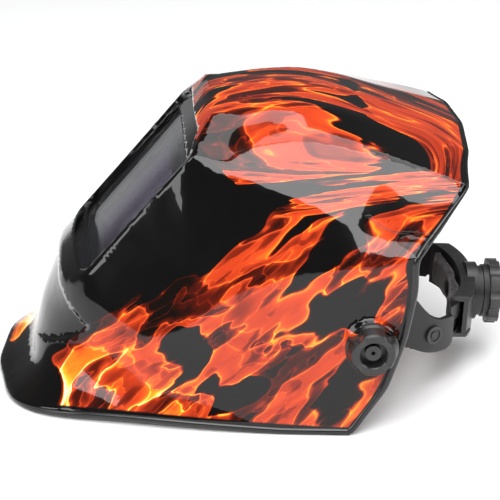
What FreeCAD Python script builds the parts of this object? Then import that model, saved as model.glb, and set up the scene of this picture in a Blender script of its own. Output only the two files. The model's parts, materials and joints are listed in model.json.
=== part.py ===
import FreeCAD, Part
import math
import os

V = FreeCAD.Vector

# ---- frame: +Z up, front of the mask -Y, wearer's left +X, floor Z = 0 ----
PIV_Y, PIV_Z = 66.0, 60.0      # headgear pivot axis (along X)
WALL = 2.6                     # moulded shell wall
FACE_Y, FACE_Z = -42.0, 168.0  # top corner of the window, on the face plane
FACE_TILT = 49.0               # slope of the face plane in the rest pose
T_BULGE, L_BULGE = 3.6, 7.5   # bulge of the face at its top and bottom

# window opening (x half width, v measured down the face from its top corner)
WIN_X, WIN_TOP, WIN_ARCH, WIN_BOT = 60.0, -2.5, 10.5, -106.0

# plan slices of the mask body: height, then (x, y) from the nose round to the rear
SLICES = (
    (4, (0, -168.5), (28, -165.5), (60, -158), (79, -140), (92, -104), (103.5, -60),
     (112.3, -15), (119, 40), (123, 95), (125, 150)),
    (12, (0, -150.5), (27, -149.5), (54, -144), (73, -128), (88.5, -96), (101.5, -55),
     (111, -12), (118, 42), (122, 96), (124, 150)),
    (26, (0, -145), (24, -143), (49, -134.5), (70, -117), (86.5, -88), (99.8, -50),
     (109.6, -8), (117, 44), (121, 97), (123, 150)),
    (50, (0, -139.8), (22, -137), (45, -127.5), (66, -110), (84, -82), (98, -45),
     (107.6, -4), (115.2, 46), (119.3, 98), (121.5, 150)),
    (75, (0, -130.3), (20, -129.3), (42, -125), (62.5, -113), (79.5, -84), (94.3, -43),
     (103.8, -2), (112.3, 48), (117, 99), (119.5, 150)),
    (98, (0, -119), (20, -118.3), (41, -115), (60, -106), (77, -78), (92, -40),
     (101.5, 1), (109.7, 49), (114.3, 100), (117.5, 150)),
    (140, (0, -106), (20, -105), (41, -100), (60, -88), (77.5, -64), (91, -31),
     (100.5, 5), (108.5, 51), (113, 101), (116, 150)),
    (215, (0, -102), (20, -101), (41, -96), (60, -84), (77, -60), (90, -27),
     (99.5, 8), (107.5, 53), (112, 102), (115, 150)),
)
HULL_Z = (-8, -3, 1, 4, 6, 8.5, 12, 16, 21, 28, 36, 46, 57, 69, 82, 96, 111, 127, 144, 162, 181, 201, 215)
# crown stations: y, then z of centre line, ridge A (x, z), ridge B (x, z), shoulder (x, z)
CROWN = (
    (-60, 178, (39, 175.5), (54, 165), (60, 160)),
    (-42, 187, (39, 184.5), (59.5, 170), (62, 168)),
    (-27, 189.5, (39, 187.2), (62, 168.6), (69.5, 162.5)),
    (2, 193.2, (39, 190.7), (63.5, 177), (82.5, 151)),
    (28, 194, (39, 191.5), (66, 181), (93.5, 141.5)),
    (55, 189.5, (39, 187), (71, 177.5), (99, 134)),
    (88, 179.2, (39, 176.7), (79, 167.5), (103.5, 127)),
    (112, 171.5, (43, 168.6), (86, 160), (106, 122.5)),
    (132, 164.8, (47, 161.8), (92, 152.4), (108, 118.5)),
    (150, 158, (51, 155), (97, 145), (109.5, 115)),
)
# side facet: y, upper rail (x, z), lower rail (x, z)
SIDE = (
    (-190, (22.5, 98), (60, 0)),
    (-150, (37, 106), (70.5, 19)),
    (-113, (50.2, 114), (80.5, 35)),
    (-92, (56.5, 122), (85.5, 44)),
    (-75, (61, 130), (88, 53)),
    (-58, (61.8, 149), (91.5, 64)),
    (-42, (63, 165), (94.5, 75)),
    (-22, (72, 156.5), (97.3, 91)),
    (0, (81.5, 148), (101.3, 99)),
    (25, (91.5, 140.5), (105.3, 107)),
    (50, (98.2, 134), (108.9, 111.5)),
    (75, (102, 128.5), (111.7, 114.5)),
    (103, (105, 124), (113.6, 117.5)),
    (130, (107, 120), (114.5, 118)),
)
REAR = ((53, -5), (53, 0), (75.5, 32), (87, 64), (93.6, 95), (93.6, 116), (103, 124),
        (127.3, 153.2), (128.8, 156.6), (131, 159.4), (134, 161.2), (137, 162.8), (141, 164.4), (150, 168))

# window pack depths below the face plane
FLANGE_FRONT, FLANGE_BACK = -2.4, -4.4
LENS_BACK = -6.0
CASE_FRONT, CASE_MID, CASE_BACK = -13.2, -22.8, -35.8
HOLDER_STEP = -11.8             # the holder is narrower above this depth, to clear the mask's sides
FILTER_V0, FILTER_V1 = -101.0, -30.0
HOLDER_SCREWS = ((42, 9), (-42, 9), (34, -117), (-34, -117))
SCREW_R = 1.5
SENSORS = ((50, -11), (-50, -11), (50, -21), (-50, -21))
KNOBS = ((-38, -13, 7.5), (-18, -13, 5.5), (-2, -13, 5.5))
KNOB_STEM = 2.0
BUTTON = (12, -13)
SWITCH = (26, -13)
TRAY = (33.0, 60.5, -25.4, -4.0)
TRAY_T = 5.0

# pivots: boss in the mask wall, screwed stud, outside tension knob
BOSS_IN, BOSS_OUT, BOSS_R = 110.2, 118.0, 16.2
STUD_R = 5.0
PEGS = ((53.1, 77.6), (75.2, 41.6))
HG_TILT = -3.0                 # headgear angle in the rest pose, about the pivot


def unit_v():
    a = math.radians(FACE_TILT)
    return V(0, math.cos(a), math.sin(a))


def unit_n():
    a = math.radians(FACE_TILT)
    return V(0, -math.sin(a), math.cos(a))


def face_pt(x, v, n):
    return V(x, FACE_Y, FACE_Z) + unit_v() * v + unit_n() * n


def spline(points, closed=False):
    curve = Part.BSplineCurve()
    curve.interpolate(points, PeriodicFlag=closed)
    return curve.toShape()


def offset_outline(points, inset):
    out = []
    last = len(points) - 1
    for i, p in enumerate(points):
        a = points[max(i - 1, 0)]
        b = points[min(i + 1, last)]
        tx, ty = b[0] - a[0], b[1] - a[1]
        if i == 0:
            tx, ty = 1.0, 0.0
        size = math.hypot(tx, ty)
        out.append((p[0] - inset * ty / size, p[1] + inset * tx / size))
    return out


def blend_table(rows, key):
    """Smooth (Catmull-Rom) value of a table of equal-length number rows at a key."""
    keys = [r[0] for r in rows]
    i = max(0, min(len(rows) - 2, sum(1 for k in keys if k <= key) - 1))
    t = (key - keys[i]) / (keys[i + 1] - keys[i])
    out = []
    for c in range(1, len(rows[0])):
        p0, p1 = rows[i][c], rows[i + 1][c]
        span = keys[i + 1] - keys[i]
        s0 = s1 = (p1 - p0) / span
        if i > 0:
            w = span / (keys[i + 1] - keys[i - 1])
            s0 = (1 - w) * s0 + w * (p0 - rows[i - 1][c]) / (keys[i] - keys[i - 1])
        if i < len(rows) - 2:
            w = span / (keys[i + 2] - keys[i])
            s1 = (1 - w) * s1 + w * (rows[i + 2][c] - p1) / (keys[i + 2] - keys[i + 1])
        h00 = 2 * t ** 3 - 3 * t ** 2 + 1
        h10 = t ** 3 - 2 * t ** 2 + t
        h01 = 3 * t ** 2 - 2 * t ** 3
        h11 = t ** 3 - t ** 2
        out.append(h00 * p0 + h10 * span * s0 + h01 * p1 + h11 * span * s1)
    return out


def flatten(row):
    out = [row[0]]
    for item in row[1:]:
        out += list(item) if isinstance(item, tuple) else [item]
    return out


def arch(y):
    """Height of the lower edge above the floor, between its tip and its rear corners."""
    t = (y + 157.0) / 202.0
    if t <= 0 or t >= 1:
        return 0.0
    return 4.3 * math.sin(math.pi * t ** 0.7)


def hull(inset):
    wires = []
    rows = [flatten(r) for r in SLICES]
    for z in HULL_Z:
        key = max(4.0, z + 1.2 * inset * max(0.0, 1 - max(z, 0) / 26.0))
        flat = blend_table(rows, key)
        pairs = list(zip(flat[0::2], flat[1::2]))
        half = offset_outline(pairs, inset)
        lift = max(0.0, 1 - max(z, 0) / 60.0) if z > -4 else 0.0
        right = [V(x, y, z + lift * arch(y)) for x, y in half]
        left = [V(-p.x, p.y, p.z) for p in reversed(right[1:])]
        curve = spline(left + right)
        close = Part.makeLine(right[-1], left[0])
        wires.append(Part.Wire([curve, close]))
    return Part.makeLoft(wires, True, False)


def past_shoulder(y):
    """0 where the shoulder crease is convex, 1 near the rear edge where it turns concave."""
    return min(1.0, max(0.0, (y - 10.0) / 60.0))


def crown_cut(inset):
    wires = []
    rows = [flatten(r) for r in CROWN]
    for y in (-60, -48, -36, -24, -10, 5, 20, 35, 50, 65, 80, 95, 110, 125, 140, 150):
        zc, a0, a1, b0, b1, s0, s1 = blend_table(rows, y)
        a, b, s = (a0, a1), (b0, b1), (s0, s1)
        zc, az, bz = zc - inset, a[1] - inset, b[1] - inset
        ax, bx = a[0] - 0.4 * inset, b[0] - 0.6 * inset
        sx, sz = s[0] - 0.85 * inset, s[1] - 0.55 * inset
        drop = 90.0 + past_shoulder(y) * (bz - sz + 4.0 - 90.0)
        ex, ez = bx + (sx - bx) * drop / (bz - sz), bz - drop
        pts = [V(-ex, y, ez), V(-bx, y, bz), V(-ax, y, az), V(0, y, zc), V(ax, y, az),
               V(bx, y, bz), V(ex, y, ez), V(400, y, ez), V(400, y, 330), V(-400, y, 330),
               V(-400, y, ez)]
        wires.append(Part.makePolygon(pts + [pts[0]]))
    return Part.makeLoft(wires, True, False)


def side_cut(inset, sign):
    wires = []
    rows = [flatten(r) for r in SIDE]
    for y in (-190, -170, -150, -130, -112, -95, -78, -60, -45, -30, -15, 0, 15, 30, 45, 60,
              75, 90, 105, 118, 130):
        u0, u1, l0, l1 = blend_table(rows, y)
        up, low = (u0, u1), (l0, l1)
        dx, dz = low[0] - up[0], low[1] - up[1]
        size = math.hypot(dx, dz)
        dx, dz = dx / size, dz / size
        reach = 45.0 - 41.0 * past_shoulder(y)
        ux, uz = up[0] + inset * dz - dx * reach, up[1] - inset * dx - dz * reach
        lx, lz = low[0] + inset * dz + dx * 45, low[1] - inset * dx + dz * 45
        pts = [V(sign * ux, y, uz), V(sign * lx, y, lz), V(sign * 300, y, lz),
               V(sign * 300, y, uz)]
        wires.append(Part.makePolygon(pts + [pts[0]]))
    return Part.makeLoft(wires, True, False)


def face_cut(inset):
    wires = []
    for v, bulge in ((60, T_BULGE), (0, T_BULGE), (-110, L_BULGE), (-240, 12.5)):
        k = bulge / 60.0 ** 2
        pts = [face_pt(x, v, bulge - k * x * x - inset) for x in (-170, -90, 0, 90, 170)]
        curve = spline(pts)
        far = [pts[-1], face_pt(170, v, 200), face_pt(-170, v, 200), pts[0]]
        wires.append(Part.Wire([curve] + Part.makePolygon(far).Edges))
    return Part.makeLoft(wires, True, False)


def prism_x(points, half):
    pts = [V(-half, y, z) for y, z in points]
    face = Part.Face(Part.makePolygon(pts + [pts[0]]))
    return face.extrude(V(2 * half, 0, 0))


def rear_cut():
    return prism_x(list(REAR) + [(400, 170), (400, -60), (53, -60)], 300)


def biggest(shape):
    solids = sorted(shape.Solids, key=lambda s: s.Volume)
    return solids[-1]


def bottom_cut():
    pts = [(-200, 0)] + [(y, arch(y)) for y in range(-157, 46, 6)] + [(45, 0), (160, 0)]
    curve = Part.BSplineCurve()
    curve.interpolate([V(-200, y, z) for y, z in pts[1:-1]])
    ends = [V(-200, 160, 0), V(-200, 160, -60), V(-200, -200, -60), V(-200, -200, 0)]
    lines = Part.makePolygon([V(-200, 45, 0)] + ends + [V(-200, -157, 0)]).Edges
    face = Part.Face(Part.Wire(Part.__sortEdges__([curve.toShape()] + lines)))
    return face.extrude(V(400, 0, 0))


def mask_body(inset):
    body = biggest(hull(inset).cut(face_cut(inset)))
    body = biggest(body.cut(crown_cut(inset)))
    for sign in (1, -1):
        body = biggest(body.cut(side_cut(inset, sign)))
    return body


def turn_x(shape, angle, at):
    shape.rotate(V(0, 0, 0), V(1, 0, 0), angle)
    shape.translate(at)
    return shape


def on_face(shape):
    """Move a shape built as (x, v, n) onto the face plane."""
    return turn_x(shape, FACE_TILT, V(0, FACE_Y, FACE_Z))


def plate(points, z0, z1):
    face = Part.Face(Part.makePolygon([V(x, y, z0) for x, y in points + [points[0]]]))
    return face.extrude(V(0, 0, z1 - z0))


def rounded(x0, x1, y0, y1, z0, z1, r):
    box = Part.makeBox(x1 - x0, y1 - y0, z1 - z0, V(x0, y0, z0))
    edges = [e for e in box.Edges if abs(e.Vertexes[0].Z - e.Vertexes[1].Z) > 1e-6]
    return box.makeFillet(r, edges)


def round_plate(points, z0, z1, r):
    solid = plate(points, z0, z1)
    edges = [e for e in solid.Edges if abs(e.Vertexes[0].Z - e.Vertexes[1].Z) > 1e-6]
    return solid.makeFillet(r, edges)


def pocket_shape(grow, n0, n1):
    x, t, b, a = WIN_X + grow, WIN_TOP + grow, WIN_BOT - grow, WIN_ARCH + grow
    pts = [(-x + 4, b), (x - 4, b), (x, t), (38, a), (-38, a), (-x, t)]
    return round_plate(pts, n0, n1, 8 + grow)


def rod_x(x0, x1, y, z, r):
    return Part.makeCylinder(r, abs(x1 - x0), V(min(x0, x1), y, z), V(1, 0, 0))


def rod_y(y0, y1, x, z, r):
    return Part.makeCylinder(r, abs(y1 - y0), V(x, min(y0, y1), z), V(0, 1, 0))


def rod_back(d0, d1, x, z, r):
    """A rod along Y, measured from the rear point of the band."""
    return rod_y(BAND_REAR + d0, BAND_REAR + d1, x, z, r)


def fuse_all(shapes):
    out = shapes[0]
    for item in shapes[1:]:
        out = out.fuse(item)
    return out.removeSplitter()


def group(shapes):
    return Part.makeCompound(shapes)


def chin_step(outer):
    """The moustache-shaped step under the window: a shallow recess that fades downwards."""
    half = [(0, 80), (22, 78), (42, 71.5), (56, 63.5), (66, 55), (60, 47), (46, 38), (0, 24)]
    pts = half + [(-x, z) for x, z in reversed(half[1:-1])]
    zone = Part.Face(Part.makePolygon([V(x, -175, z) for x, z in pts + [pts[0]]]))
    zone = zone.extrude(V(0, 105, 0))
    low = outer.copy()
    low.rotate(V(0, -140, 24), V(1, 0, 0), -1.9)
    return zone.cut(low)


def make_shell():
    outer = biggest(mask_body(0).cut(rear_cut()).cut(bottom_cut()))
    outer = biggest(outer.cut(chin_step(outer)))
    shell = biggest(outer.cut(mask_body(WALL)))
    rim = on_face(pocket_shape(2.6, FLANGE_BACK, 40)).common(outer)
    posts = [Part.makeCylinder(4, 40, V(x, v, LENS_BACK - 0.2)) for x, v in HOLDER_SCREWS]
    posts = on_face(fuse_all(posts)).common(outer)
    shell = shell.fuse(rim).fuse(posts)
    for sign in (1, -1):
        boss = rod_x(sign * BOSS_IN, sign * BOSS_OUT, PIV_Y, PIV_Z, BOSS_R)
        pegs = [rod_x(sign * 106.4, sign * 124, y, z, 2.5).common(outer) for y, z in PEGS]
        for item in [boss] + pegs:
            shell = shell.fuse(item)
    shell = shell.cut(on_face(pocket_shape(0, FLANGE_FRONT, 60)))
    shell = shell.cut(on_face(rounded(-58, 58, -105, -7, -30, 10, 8)))
    for x, v in HOLDER_SCREWS:
        shell = shell.cut(on_face(Part.makeCylinder(SCREW_R + 0.02, 9, V(x, v, LENS_BACK - 1))))
    shell = shell.cut(rod_x(-140, 140, PIV_Y, PIV_Z, STUD_R + 0.05))
    for sign in (1, -1):
        shell = shell.cut(rod_x(sign * BOSS_OUT, sign * 140, PIV_Y, PIV_Z, BOSS_R + 1.3))
    return biggest(shell)


# ---------------- window pack, built as (x, v down the face, n out of the face) ----------------

def make_lens():
    return on_face(rounded(-59.9, 59.9, -108, -4, LENS_BACK, FLANGE_BACK, 8))


def make_lens_gasket():
    ring = rounded(-59.9, 59.9, -108, -4, LENS_BACK - 0.8, LENS_BACK, 8)
    return on_face(ring.cut(rounded(-57.5, 57.5, -104.5, -7.5, -30, 0, 7)))


def make_holder():
    top, back = LENS_BACK - 0.8, CASE_BACK + 5
    body = rounded(-63.4, 63.4, -110.6, 1.8, back, HOLDER_STEP, 11)
    body = body.fuse(rounded(-60.9, 60.9, -109, 0.8, HOLDER_STEP - 1, top, 10))
    lugs = [Part.makeCylinder(5, 3, V(x, v, LENS_BACK - 3.2)) for x, v in HOLDER_SCREWS]
    necks = [Part.makeBox(10, 9, 2.4, V(x - 5, min(v, v - 9 * (1 if v > 0 else -1)), LENS_BACK - 3.2))
             for x, v in HOLDER_SCREWS]
    body = fuse_all([body] + lugs + necks)
    body = body.cut(rounded(-61.8, 61.8, -107.8, -0.2, -60, CASE_FRONT, 9))
    body = body.cut(rounded(-57.5, 57.5, -104.5, -7.5, -60, 5, 7))
    for x, v in HOLDER_SCREWS:
        body = body.cut(Part.makeCylinder(SCREW_R + 0.3, 20, V(x, v, -25)))
    for sign in (1, -1):
        body = body.cut(rounded(sign * 64 - 6, sign * 64 + 6, -72, -48, back - 1, CASE_FRONT - 3, 2))
    body = body.cut(Part.makeBox(12, 26.6, 8, V(58, TRAY[2] - 3, back - 3.5)))
    return on_face(body)


def make_holder_screws():
    out = []
    for x, v in HOLDER_SCREWS:
        shank = Part.makeCylinder(SCREW_R, 9, V(x, v, LENS_BACK - 3.2))
        head = Part.makeCylinder(3.2, 2.2, V(x, v, LENS_BACK - 5.4))
        slot = Part.makeBox(4.4, 1, 1, V(x - 2.2, v - 0.5, LENS_BACK - 5.4))
        cross = Part.makeBox(1, 4.4, 1, V(x - 0.5, v - 2.2, LENS_BACK - 5.4))
        out.append(on_face(shank.fuse(head).cut(slot).cut(cross)))
    return group(out)


def make_case_front():
    body = rounded(-61.5, 61.5, -107.5, -0.5, CASE_MID, CASE_FRONT, 8)
    body = body.cut(rounded(-51, 51, FILTER_V0 - 1, FILTER_V1 + 1, CASE_MID - 1, CASE_FRONT - 2, 3))
    body = body.cut(rounded(-50, 50, FILTER_V0, FILTER_V1, -60, 0, 3))
    body = body.cut(rounded(-42, 42, -22, -10, CASE_FRONT - 1.2, 0, 1.5))
    for x, v in SENSORS:
        body = body.cut(Part.makeCylinder(3.5, 3, V(x, v, CASE_FRONT - 1.6)))
    body = body.cut(rounded(-59, 59, -105.5, -24, CASE_MID - 1, CASE_FRONT - 6.5, 4).cut(
        rounded(-53, 53, FILTER_V0 - 3, FILTER_V1 + 3, -60, 0, 3)))
    return on_face(body)


def make_filter():
    glass = rounded(-50.7, 50.7, FILTER_V0 - 0.7, FILTER_V1 + 0.7, CASE_FRONT - 5.5, CASE_FRONT - 2, 3)
    return on_face(glass)


def make_solar():
    return on_face(rounded(-42, 42, -22, -10, CASE_FRONT - 1.2, CASE_FRONT - 0.2, 1.5))


def make_sensors():
    return group([on_face(Part.makeCylinder(3.5, 1.4, V(x, v, CASE_FRONT - 1.6)))
                  for x, v in SENSORS])


def make_case_back():
    body = rounded(-61.5, 61.5, -107.5, -0.5, CASE_BACK, CASE_MID, 8)
    body = body.cut(rounded(-59, 59, -105, -3, CASE_BACK + 2, CASE_MID + 1, 6))
    frame = rounded(-54, 54, FILTER_V0 - 4, FILTER_V1 + 4, CASE_BACK + 1, CASE_MID, 4)
    body = body.fuse(frame)
    body = body.cut(rounded(-50, 50, FILTER_V0, FILTER_V1, -60, 0, 3))
    body = body.cut(rounded(-52, 52, FILTER_V0 - 2, FILTER_V1 + 2, -60, CASE_BACK + 1.4, 3))
    for x, v, r in KNOBS:
        body = body.cut(Part.makeCylinder(KNOB_STEM + 0.06, 12, V(x, v, CASE_BACK - 2)))
        body = body.cut(Part.makeCylinder(r + 1.2, 1.2, V(x, v, CASE_BACK)))
    x, v = BUTTON
    body = body.cut(Part.makeCylinder(3.06, 12, V(x, v, CASE_BACK - 2)))
    x, v = SWITCH
    body = body.cut(Part.makeBox(12.1, 4.1, 12, V(x - 6.05, v - 2.05, CASE_BACK - 2)))
    x0, x1, v0, v1 = TRAY
    body = body.cut(Part.makeBox(40, v1 - v0, TRAY_T, V(x0, v0, CASE_BACK + 2.6)))
    return on_face(body)


def make_board():
    board = rounded(-57.5, 57.5, -26, -3.5, CASE_BACK + 9.2, CASE_BACK + 10.6, 3)
    for x, v in ((-30, -14), (-8, -12), (14, -14), (36, -12)):
        board = board.fuse(Part.makeBox(8, 6, 1.2, V(x, v, CASE_BACK + 10.5)))
    return on_face(board)


def make_back_lens():
    return on_face(rounded(-51.9, 51.9, FILTER_V0 - 1.9, FILTER_V1 + 1.9, CASE_BACK + 0.1, CASE_BACK + 1.35, 3))


def dial(x, v, r, height):
    knob = Part.makeCylinder(r, height, V(x, v, CASE_BACK - height - 0.4))
    for i in range(12):
        a = math.radians(30 * i)
        cut = Part.makeCylinder(0.9, height + 2, V(x + (r + 0.35) * math.cos(a),
                                                   v + (r + 0.35) * math.sin(a),
                                                   CASE_BACK - height - 1.4))
        knob = knob.cut(cut)
    stem = Part.makeCylinder(KNOB_STEM, 8.6, V(x, v, CASE_BACK - 0.5))
    mark = Part.makeBox(0.9, r - 1.5, 0.5, V(x - 0.45, v + 0.8, CASE_BACK - height - 0.4))
    return on_face(knob.fuse(stem).cut(mark))


def make_button():
    x, v = BUTTON
    cap = Part.makeCylinder(3, 6.5, V(x, v, CASE_BACK - 2.4))
    collar = Part.makeCylinder(4.2, 1, V(x, v, CASE_BACK + 3.6))
    return on_face(cap.fuse(collar))


def make_switch():
    x, v = SWITCH
    bar = Part.makeBox(5.5, 4, 5, V(x - 5.5, v - 2, CASE_BACK - 1.6))
    return on_face(bar)


def make_tray():
    x0, x1, v0, v1 = TRAY
    body = Part.makeBox(x1 - x0, v1 - v0 - 0.2, TRAY_T - 0.2, V(x0 + 0.1, v0 + 0.1, CASE_BACK + 2.7))
    body = body.cut(Part.makeCylinder(10.15, 10, V(x0 + 11.5, (v0 + v1) / 2, CASE_BACK + 3.8)))
    lip = Part.makeBox(1.6, v1 - v0 + 2, TRAY_T + 1.4, V(61.8, v0 - 1, CASE_BACK + 1.9))
    bridge = Part.makeBox(62 - x1 + 0.5, v1 - v0 - 0.2, TRAY_T - 0.2, V(x1 - 0.4, v0 + 0.1, CASE_BACK + 2.7))
    return on_face(fuse_all([body, bridge, lip]))


def make_cell():
    x0, x1, v0, v1 = TRAY
    return on_face(Part.makeCylinder(10, 3, V(x0 + 11.5, (v0 + v1) / 2, CASE_BACK + 3.9)))


def make_pots():
    out = []
    for x, v, r in KNOBS:
        can = Part.makeCylinder(5, 4.4, V(x, v, CASE_BACK + 4.4))
        out.append(on_face(can.cut(Part.makeCylinder(KNOB_STEM + 0.06, 12, V(x, v, CASE_BACK)))))
    return group(out)


# ---------------- headgear, built about the pivot axis, then set down with on_head ----------------

BAND_A, BAND_REAR, BAND_FRONT, BAND_N = 76.0, 77.0, 98.0, 2.4
STRAP_Z0, STRAP_Z1 = -23.0, -1.0
GEAR_Z = -12.0
KNOB_REAR = 22.1               # rear face of the ratchet knob behind the band's rear point
HOUSE_X = 45.0                 # half the width of the ratchet housing


def on_head(shape):
    return turn_x(shape, HG_TILT, V(0, PIV_Y, PIV_Z))


def power(value, k):
    return math.copysign(abs(value) ** k, value)


def band_point(deg, grow):
    t = math.radians(deg)
    k = 2.0 / BAND_N
    y = (BAND_REAR if math.sin(t) > 0 else BAND_FRONT) + grow
    return V((BAND_A + grow) * power(math.cos(t), k), y * power(math.sin(t), k), 0)


def oval(grow, z0, z1):
    curve = spline([band_point(d, grow) for d in range(0, 360, 9)], True)
    face = Part.Face(Part.Wire([curve]))
    face.translate(V(0, 0, z0))
    return face.extrude(V(0, 0, z1 - z0))


def ring(g0, g1, z0, z1):
    return oval(g1, z0, z1).cut(oval(g0, z0 - 1, z1 + 1))


def strip(points_in, points_out, z0, z1):
    a, b = spline(points_in), spline(points_out)
    ends = [Part.makeLine(points_in[-1], points_out[-1]), Part.makeLine(points_out[0], points_in[0])]
    face = Part.Face(Part.Wire(Part.__sortEdges__([a, b] + ends)))
    face.translate(V(0, 0, z0))
    return face.extrude(V(0, 0, z1 - z0))


def beside_ear(shape, sign):
    """Stand a shape built along +X square on the band, just behind the ear."""
    p, q = band_point(BUTTON_DEG - 1, 0), band_point(BUTTON_DEG + 1, 0)
    lean = math.degrees(math.atan2(p.x - q.x, q.y - p.y))
    mid = band_point(BUTTON_DEG, 0)
    shape = shape.copy()
    shape.rotate(V(0, 0, 0), V(0, 0, 1), lean)
    shape.translate(V(mid.x, mid.y, 0))
    return shape if sign > 0 else shape.mirror(V(0, 0, 0), V(1, 0, 0))


def make_headband():
    band = ring(0, 2.2, -40, 40)
    side = ((-120, -6), (-62, -7), (-46, -18), (-36, -22), (12, -20), (26, -19.7), (31, -20.4),
            (35, -22.4), (40, -24.8), (45, -26.4), (50, -27.3), (57, -27.5), (60.5, -26.4), (62, -23.5),
            (62, -8), (60.5, -5.6), (56, -5.2), (51.7, -4.7), (48, -3.2), (43.5, 0), (39.7, 4.2),
            (34.7, 10.6), (28, 16.5), (19, 20), (-40, 22), (-120, 25))
    band = biggest(band.common(prism_x(side, 120)))
    for sign in (1, -1):
        for y, z in BAND_RIVETS:
            band = band.cut(rod_x(sign * 60, sign * 90, y, z, 2.05))
        band = band.cut(beside_ear(rod_x(-8, 8, 0, BUTTON_Z, 2.05), sign))
        for y in (-56, -38):
            band = band.cut(rod_x(sign * 50, sign * 90, y, 8, 3.4))
    for x in (-30, -10, 10, 30):
        band = band.cut(rounded(x - 6, x + 6, 5, 11, 0, 20, 2.5).rotated(V(0, 0, 0), V(1, 0, 0), 90)
                        .translated(V(0, -85, 0)))
    return on_head(band)


BAND_RIVETS = ((8, -8), (-4, -12), (-30, -12))
BUTTON_DEG, BUTTON_Z = 32.5, -14.0


def make_sweatband():
    pad = ring(-6.2, -0.3, -10, 30)
    side = ((-120, -3), (-44, -4), (-36, 0), (-36, 14), (-42, 19), (-120, 22))
    return on_head(biggest(pad.common(prism_x(side, 120))))


def strap_gap(deg, rear):
    t = min(1.0, max(0.0, (deg - 48.0) / 26.0))
    return -1.15 + (rear + 1.15) * t * t * (3 - 2 * t)


def make_strap(sign):
    rear = -1.35 if sign > 0 else 0.95
    steps = list(range(21, 109, 3))
    inner = [band_point(d, strap_gap(d, rear) - 0.75) for d in steps]
    outer = [band_point(d, strap_gap(d, rear) + 0.75) for d in steps]
    strap = strip(inner, outer, STRAP_Z0, STRAP_Z1)
    low, high = GEAR_Z - 6.2, GEAR_Z + 6.2
    teeth = []
    for i in range(-5, 5):
        x, tip = GEAR_PITCH * (i + 0.5), (high - 2.0 if sign > 0 else low + 2.0)
        base = high if sign > 0 else low
        teeth += [(x - 0.65, base), (x - 0.65, tip), (x + 0.65, tip), (x + 0.65, base)]
    if sign > 0:
        slot = [(-21, low), (-21, high)] + teeth + [(21, high), (21, low)]
    else:
        slot = [(-21, high), (-21, low)] + teeth + [(21, low), (21, high)]
    pts = [V(x, 65, z) for x, z in slot + [slot[0]]]
    strap = strap.cut(Part.Face(Part.makePolygon(pts)).extrude(V(0, 30, 0)))
    hole = rounded(-5.0, 5.0, -2.3, 2.3, 30, 80, 2.2)
    hole.rotate(V(0, 0, 0), V(0, 1, 0), 90)
    hole.translate(V(0, 65.5, GEAR_Z - 4.0))
    strap = strap.cut(hole).cut(Part.makeBox(60, 60, 8, V(30, 0, -5.8)))
    strap = biggest(strap.cut(beside_ear(rod_x(-8, 8, 0, BUTTON_Z, 2.05), 1)))
    if sign < 0:
        strap = strap.mirror(V(0, 0, 0), V(1, 0, 0))
    return on_head(strap)


GEAR_PITCH = 3.77


def make_strap_buttons():
    out = []
    for sign in (1, -1):
        stem = rod_x(-3.4, 2.8, 0, BUTTON_Z, 2.0)
        foot = rod_x(-3.6, -2.4, 0, BUTTON_Z, 4.6)
        ring_cut = rod_x(3.4, 5, 0, BUTTON_Z, 4.4).cut(rod_x(3, 6, 0, BUTTON_Z, 2.6))
        cap = rod_x(2.4, 4.0, 0, BUTTON_Z, 6.0).cut(ring_cut)
        out.append(on_head(beside_ear(fuse_all([stem, foot, cap]), sign)))
    return group(out)


def make_arm(sign):
    hug = ring(2.3, 5.0, -23, -2).common(Part.makeBox(30, 37, 30, V(60, -36, -26)))
    disc = rod_x(ARM_X0, ARM_X1, 0, 0, 15)
    pts = [(9, -8), (-14, 6), (-31, -7), (-31, -19), (-14, -20), (6, -12)]
    leg = prism_x(pts, 200).common(Part.makeBox(ARM_X1 - ARM_X0, 80, 80, V(ARM_X0, -40, -40)))
    web_plan = [(78.5, -9), (ARM_X0 + 0.5, -14), (ARM_X0 + 0.5, -28), (77.0, -24.5)]
    web = plate(web_plan, -18.5, -8)
    web = web.cut(oval(2.4, -40, 20))
    arm = fuse_all([hug, disc, leg, web])
    arm = arm.cut(rod_x(90, 120, 0, 0, STUD_R + 0.02))
    for (y, z), head in zip(BAND_RIVETS[1:], RIVET_HEADS[1:]):
        arm = arm.cut(rod_x(60, 88, y, z, 2.05)).cut(rod_x(head, head + 6, y, z, 3.8))
    arm = arm.cut(Part.makeBox(15, 8, 5, V(83, -25, -15.8)))
    arm = biggest(arm)
    if sign < 0:
        arm = arm.mirror(V(0, 0, 0), V(1, 0, 0))
    return on_head(arm)


ARM_X0, ARM_X1 = 103.4, 107.4
RIVET_HEADS = (78.6, 81.4, 79.0)


def make_band_rivets():
    out = []
    for sign in (1, -1):
        for (y, z), head in zip(BAND_RIVETS, RIVET_HEADS):
            stem = rod_x(sign * 70.5, sign * head, y, z, 2.0)
            cap = rod_x(sign * head, sign * (head + 1.6), y, z, 3.6)
            out.append(on_head(stem.fuse(cap)))
    return group(out)


def make_pivot_studs():
    out = []
    for sign in (1, -1):
        body = rod_x(sign * 100.4, sign * 127.2, 0, 0, STUD_R)
        head = rod_x(sign * 100.4, sign * ARM_X0, 0, 0, 8.5)
        body = body.fuse(head)
        body = body.cut(rod_x(sign * 122, sign * 130, 0, 0, 1.3))
        for x in (125.9, 124.7, 123.5, 122.3, 121.1, 119.9):
            groove = rod_x(sign * (x - 0.25), sign * (x + 0.25), 0, 0, 6)
            body = body.cut(groove.cut(rod_x(sign * (x - 1), sign * (x + 1), 0, 0, 4.6)))
        out.append(on_head(body))
    return group(out)


def make_friction_washers():
    out = []
    for sign in (1, -1):
        disc = rod_x(sign * (ARM_X1 + 0.05), sign * (BOSS_IN - 0.05), 0, 0, 14)
        out.append(on_head(disc.cut(rod_x(sign * 90, sign * 130, 0, 0, STUD_R + 0.02))))
    return group(out)


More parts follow.
